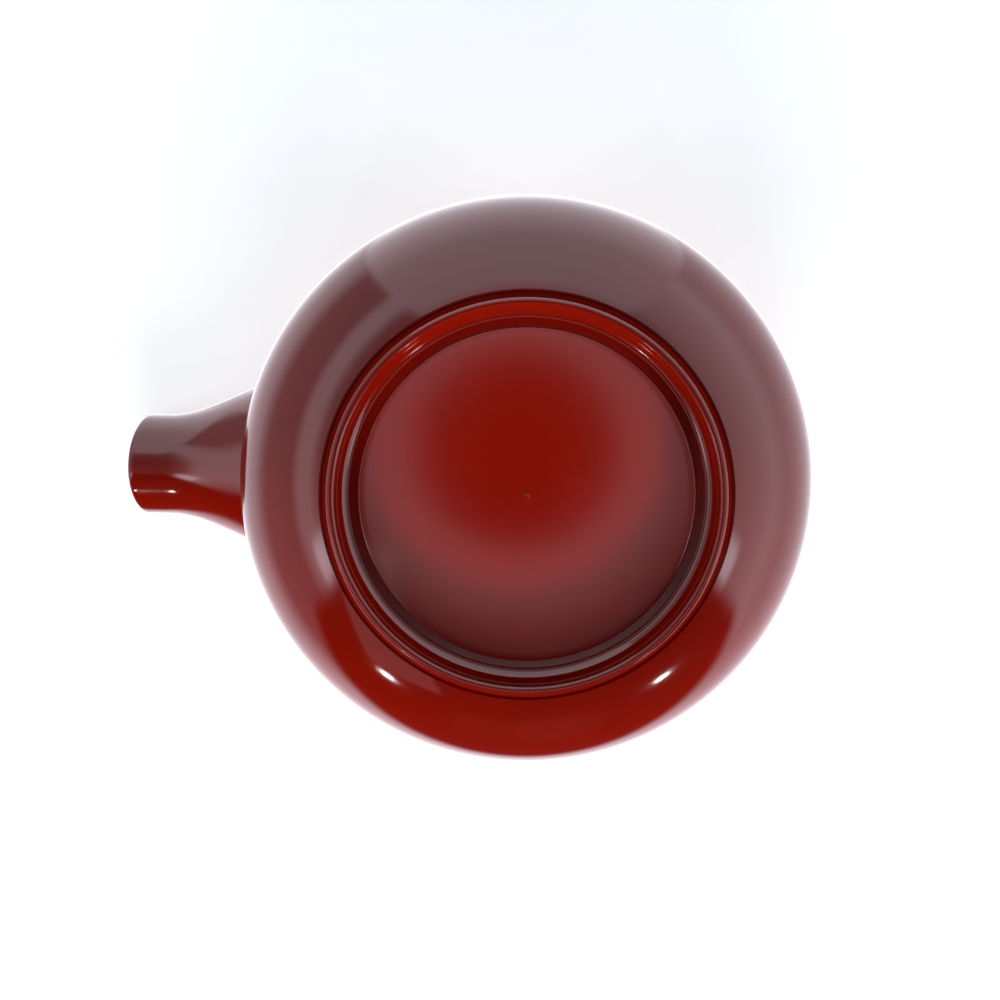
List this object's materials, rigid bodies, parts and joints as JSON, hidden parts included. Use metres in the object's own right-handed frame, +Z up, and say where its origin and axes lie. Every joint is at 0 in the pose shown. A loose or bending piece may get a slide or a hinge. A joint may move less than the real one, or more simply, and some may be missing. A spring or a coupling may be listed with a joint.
{
  "type": "spouted bowl",
  "caption": "Round lacquered bowl with an incurved wall, a foot ring and an open pouring spout on one side.",
  "frame": {"origin": "middle of the overall length and width, at table level", "axes": "+Z up out of the bowl, spout pointing along -X"},
  "size_m": [0.1826, 0.15, 0.061],
  "materials": {
    "red_lacquer": "gloss"
  },
  "bodies": {
    "root": {"bowl": "red_lacquer", "foot_ring": "red_lacquer", "base_disc": "red_lacquer", "spout": "red_lacquer"}
  },
  "joints": []
}
